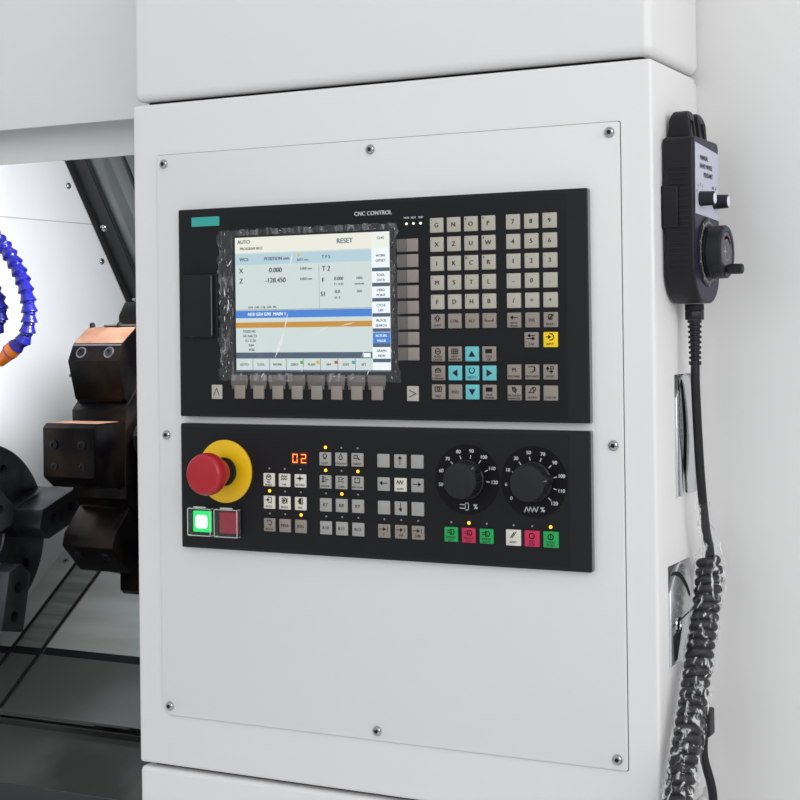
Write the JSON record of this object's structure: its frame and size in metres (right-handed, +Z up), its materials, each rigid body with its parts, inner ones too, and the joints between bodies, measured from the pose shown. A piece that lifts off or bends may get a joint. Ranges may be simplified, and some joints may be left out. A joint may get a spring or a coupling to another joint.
{
  "type": "CNC turning lathe",
  "caption": "Slant-bed CNC turning lathe with an enclosed work space, sliding front door, power chuck, tool turret, operator panel column and a hand wheel pendant on a curly cord.",
  "frame": {"origin": "centre of the footprint on the floor", "axes": "+X along the spindle away from the headstock, +Y from the operator into the machine, +Z up"},
  "size_m": [2.25, 1.45, 1.776],
  "materials": {
    "white_paint": "satin",
    "dark_paint": "satin",
    "grey_paint": "satin",
    "steel": "brushed",
    "dark_steel": "black oxide",
    "chrome": "polished",
    "cast_iron": "painted",
    "rubber": "matt",
    "black_plastic": "matt",
    "screen": "gloss",
    "clear": "clear",
    "red_plastic": "gloss",
    "green_plastic": "gloss",
    "yellow_plastic": "satin",
    "light_plastic": "satin",
    "blue_plastic": "satin"
  },
  "bodies": {
    "machine": {"base_frame": "grey_paint", "slant_bed": "cast_iron", "headstock": "cast_iron", "spindle_motor": "dark_paint", "drive_belt": "rubber", "coolant_hose_upper": "blue_plastic", "coolant_hose_lower": "blue_plastic", "headstock_wall": "white_paint", "left_cover": "white_paint", "right_cover": "white_paint", "front_fascia": "white_paint", "lower_apron": "white_paint", "chip_chute": "grey_paint", "rear_guard": "dark_paint", "roof_cover": "white_paint", "rear_cover": "white_paint", "column_shell": "white_paint", "column_cap": "white_paint", "column_plinth": "white_paint", "panel_plate": "white_paint", "display_housing": "black_plastic", "display_screen": "screen", "control_housing": "black_plastic", "estop_ring": "yellow_plastic", "pendant_case": "black_plastic", "pendant_gland": "rubber", "cord_lead": "rubber", "cord_coil": "rubber", "cord_tail": "rubber"},
    "spindle_and_chuck": {"spindle": "steel", "chuck_body": "dark_steel"},
    "jaw_1": {"chuck_jaw_1": "dark_steel"},
    "jaw_2": {"chuck_jaw_2": "dark_steel"},
    "jaw_3": {"chuck_jaw_3": "dark_steel"},
    "motor_pulley": {"motor_pulley": "steel"},
    "saddle": {"z_saddle": "grey_paint"},
    "cross_slide": {"x_slide": "dark_paint"},
    "turret": {"turret_disc": "dark_steel"},
    "way_cover_left": {"way_cover_left": "steel"},
    "way_cover_right": {"way_cover_right": "steel"},
    "cabinet_door": {"cabinet_door": "white_paint"},
    "door": {"sliding_door": "white_paint", "door_window": "clear", "door_handle": "chrome"},
    "card_cover": {"display_flap": "black_plastic"},
    "estop": {"estop_button": "red_plastic"},
    "start_button": {"start_button": "green_plastic"},
    "stop_button": {"stop_button": "red_plastic"},
    "start_guard": {"start_guard": "clear"},
    "stop_guard": {"stop_guard": "clear"},
    "spindle_knob": {"spindle_override_knob": "black_plastic"},
    "feed_knob": {"feed_override_knob": "black_plastic"},
    "reset_key": {"reset_key": "light_plastic"},
    "feed_stop_key": {"feed_stop_key": "red_plastic"},
    "cycle_start_key": {"cycle_start_key": "green_plastic"},
    "handwheel": {"pendant_handwheel": "black_plastic"},
    "axis_knob": {"pendant_axis_knob": "black_plastic"},
    "step_knob": {"pendant_step_knob": "black_plastic"},
    "latch_upper": {"latch_upper": "chrome"},
    "latch_lower": {"latch_lower": "chrome"}
  },
  "joints": [
    {"name": "door_slide", "type": "slide", "parent": "machine", "child": "door", "axis": [1, 0, 0], "range_m": [0, 0.62]},
    {"name": "spindle_turn", "type": "hinge", "parent": "machine", "child": "spindle_and_chuck", "pos_m": [-0.335, -0.2838, 1.05], "axis": [1, 0, 0], "continuous": true},
    {"name": "jaw_1_slide", "type": "slide", "parent": "spindle_and_chuck", "child": "jaw_1", "axis": [0, 0.9511, 0.309], "range_m": [-0.004, 0.004]},
    {"name": "jaw_2_slide", "type": "slide", "parent": "spindle_and_chuck", "child": "jaw_2", "axis": [0, -0.7431, 0.6691], "range_m": [-0.004, 0.004]},
    {"name": "jaw_3_slide", "type": "slide", "parent": "spindle_and_chuck", "child": "jaw_3", "axis": [0, -0.2079, -0.9781], "range_m": [-0.004, 0.004]},
    {"name": "motor_turn", "type": "hinge", "parent": "machine", "child": "motor_pulley", "pos_m": [-0.92, -0.3458, 0.46], "axis": [1, 0, 0], "continuous": true},
    {"name": "saddle_slide", "type": "slide", "parent": "machine", "child": "saddle", "axis": [1, 0, 0], "range_m": [0, 0.4]},
    {"name": "cross_slide_travel", "type": "slide", "parent": "saddle", "child": "cross_slide", "axis": [0, 0.8192, 0.5736], "range_m": [-0.02, 0.14]},
    {"name": "turret_index", "type": "hinge", "parent": "cross_slide", "child": "turret", "pos_m": [-0.15, -0.11833, 1.16586], "axis": [1, 0, 0], "continuous": true},
    {"name": "left_cover_slide", "type": "slide", "parent": "machine", "child": "way_cover_left", "axis": [1, 0, 0], "range_m": [0, 0.2]},
    {"name": "right_cover_slide", "type": "slide", "parent": "machine", "child": "way_cover_right", "axis": [1, 0, 0], "range_m": [0, 0.2]},
    {"name": "cabinet_door_hinge", "type": "hinge", "parent": "machine", "child": "cabinet_door", "pos_m": [-0.4997, 0.725, 0.5], "axis": [0, 0, 1], "range_deg": [0, 120]},
    {"name": "card_cover_hinge", "type": "hinge", "parent": "machine", "child": "card_cover", "pos_m": [0.2815, -0.6864, 1.322], "axis": [0, 0, -1], "range_deg": [0, 110]},
    {"name": "estop_press", "type": "slide", "parent": "machine", "child": "estop", "axis": [0, 1, 0], "range_m": [0, 0.005]},
    {"name": "start_press", "type": "slide", "parent": "machine", "child": "start_button", "axis": [0, 1, 0], "range_m": [0, 0.0025], "stiffness_N_per_m": 200},
    {"name": "stop_press", "type": "slide", "parent": "machine", "child": "stop_button", "axis": [0, 1, 0], "range_m": [0, 0.0025], "stiffness_N_per_m": 200},
    {"name": "start_guard_hinge", "type": "hinge", "parent": "machine", "child": "start_guard", "pos_m": [0.3013, -0.6872, 1.159], "axis": [-1, 0, 0], "range_deg": [0, 80]},
    {"name": "stop_guard_hinge", "type": "hinge", "parent": "machine", "child": "stop_guard", "pos_m": [0.3317, -0.6872, 1.159], "axis": [-1, 0, 0], "range_deg": [0, 80]},
    {"name": "spindle_knob_turn", "type": "hinge", "parent": "machine", "child": "spindle_knob", "pos_m": [0.5805, -0.6844, 1.195], "axis": [0, 1, 0], "range_deg": [-150, 150]},
    {"name": "feed_knob_turn", "type": "hinge", "parent": "machine", "child": "feed_knob", "pos_m": [0.6438, -0.6844, 1.195], "axis": [0, 1, 0], "range_deg": [-150, 150]},
    {"name": "reset_key_press", "type": "slide", "parent": "machine", "child": "reset_key", "axis": [0, 1, 0], "range_m": [0, 0.0012], "stiffness_N_per_m": 200},
    {"name": "feed_stop_key_press", "type": "slide", "parent": "machine", "child": "feed_stop_key", "axis": [0, 1, 0], "range_m": [0, 0.0012], "stiffness_N_per_m": 200},
    {"name": "cycle_start_key_press", "type": "slide", "parent": "machine", "child": "cycle_start_key", "axis": [0, 1, 0], "range_m": [0, 0.0012], "stiffness_N_per_m": 200},
    {"name": "handwheel_turn", "type": "hinge", "parent": "machine", "child": "handwheel", "pos_m": [0.7801, -0.61205, 1.391], "axis": [1, 0, 0], "continuous": true},
    {"name": "axis_knob_turn", "type": "hinge", "parent": "machine", "child": "axis_knob", "pos_m": [0.7786, -0.6333, 1.436], "axis": [1, 0, 0], "range_deg": [-60, 60]},
    {"name": "step_knob_turn", "type": "hinge", "parent": "machine", "child": "step_knob", "pos_m": [0.7786, -0.5908, 1.436], "axis": [1, 0, 0], "range_deg": [-45, 45]},
    {"name": "latch_upper_hinge", "type": "hinge", "parent": "machine", "child": "latch_upper", "pos_m": [0.746, -0.5928, 1.286], "axis": [0, 1, 0], "range_deg": [0, 15], "stiffness_Nm_per_rad": 2},
    {"name": "latch_lower_hinge", "type": "hinge", "parent": "machine", "child": "latch_lower", "pos_m": [0.746, -0.6138, 1.123], "axis": [0, 1, 0], "range_deg": [0, 15], "stiffness_Nm_per_rad": 2}
  ],
  "couplings": [
    {"joint": "jaw_2_slide", "follows": "jaw_1_slide", "ratio": 1},
    {"joint": "jaw_3_slide", "follows": "jaw_1_slide", "ratio": 1},
    {"joint": "motor_turn", "follows": "spindle_turn", "ratio": 1.2222},
    {"joint": "left_cover_slide", "follows": "saddle_slide", "ratio": 0.5},
    {"joint": "right_cover_slide", "follows": "saddle_slide", "ratio": 0.5}
  ]
}
